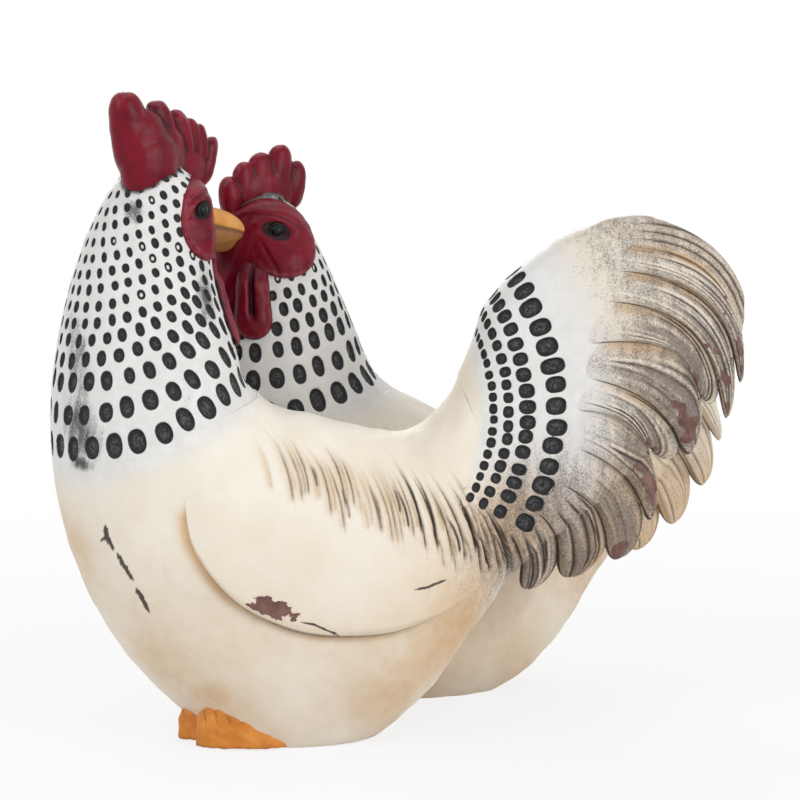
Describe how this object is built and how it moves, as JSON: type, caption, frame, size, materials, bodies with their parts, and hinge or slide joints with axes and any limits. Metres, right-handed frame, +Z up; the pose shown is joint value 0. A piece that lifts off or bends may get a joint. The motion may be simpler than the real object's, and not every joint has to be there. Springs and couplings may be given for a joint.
{
  "type": "chicken figurine",
  "caption": "Free-standing cast and painted ornament of a rooster and a hen nuzzling flank to flank, with dotted necks, red combs and plumed tails.",
  "frame": {"origin": "middle of the bounding box's footprint, on the surface that the birds stand on", "axes": "+X from the breasts to the tails, +Y from the rooster to the hen, +Z up"},
  "size_m": [0.255, 0.1762, 0.2385],
  "materials": {
    "ivory_paint": "hand-painted ivory on cast resin, satin",
    "white_paint": "hand-painted white with dark carved dots",
    "cream_paint": "hand-painted cream on cast resin, satin",
    "smoke_paint": "cream with dry-brushed grey-brown edges",
    "crimson_paint": "hand-painted crimson, satin",
    "ochre_paint": "hand-painted ochre, satin",
    "orange_paint": "hand-painted orange, satin",
    "bead": "glossy dark bead",
    "stopper": "dull moulded stopper",
    "pine": "bare turned dowel"
  },
  "bodies": {
    "root": {"rooster_body": "ivory_paint", "rooster_neck": "white_paint", "rooster_tail": "cream_paint", "rooster_comb": "crimson_paint", "rooster_face": "crimson_paint", "rooster_beak": "ochre_paint", "rooster_wing": "ivory_paint", "rooster_plug": "stopper", "rooster_eye_left": "bead", "rooster_eye_right": "bead", "rooster_wattle_left": "crimson_paint", "rooster_wattle_right": "crimson_paint", "rooster_foot_outer": "orange_paint", "rooster_foot_inner": "orange_paint", "rooster_plume_left_1": "smoke_paint", "rooster_plume_left_2": "smoke_paint", "rooster_plume_left_3": "smoke_paint", "rooster_plume_left_4": "smoke_paint", "rooster_plume_left_5": "smoke_paint", "rooster_plume_left_6": "smoke_paint", "rooster_plume_left_7": "smoke_paint", "rooster_plume_left_8": "smoke_paint", "rooster_plume_left_9": "smoke_paint", "rooster_plume_right_1": "smoke_paint", "rooster_plume_right_2": "smoke_paint", "rooster_plume_right_3": "smoke_paint", "rooster_plume_right_4": "smoke_paint", "rooster_plume_right_5": "smoke_paint", "rooster_plume_right_6": "smoke_paint", "rooster_plume_right_7": "smoke_paint", "rooster_plume_right_8": "smoke_paint", "rooster_plume_right_9": "smoke_paint", "hen_body": "ivory_paint", "hen_neck": "white_paint", "hen_tail": "cream_paint", "hen_comb": "crimson_paint", "hen_face": "crimson_paint", "hen_beak": "ochre_paint", "hen_wing": "ivory_paint", "hen_plug": "stopper", "hen_eye_left": "bead", "hen_eye_right": "bead", "hen_wattle_left": "crimson_paint", "hen_wattle_right": "crimson_paint", "hen_foot_outer": "orange_paint", "hen_foot_inner": "orange_paint", "hen_plume_left_1": "cream_paint", "hen_plume_left_2": "cream_paint", "hen_plume_left_3": "cream_paint", "hen_plume_left_4": "cream_paint", "hen_plume_left_5": "cream_paint", "hen_plume_right_1": "cream_paint", "hen_plume_right_2": "cream_paint", "hen_plume_right_3": "cream_paint", "hen_plume_right_4": "cream_paint", "hen_plume_right_5": "cream_paint", "dowel_front": "pine", "dowel_rear": "pine"}
  },
  "joints": []
}
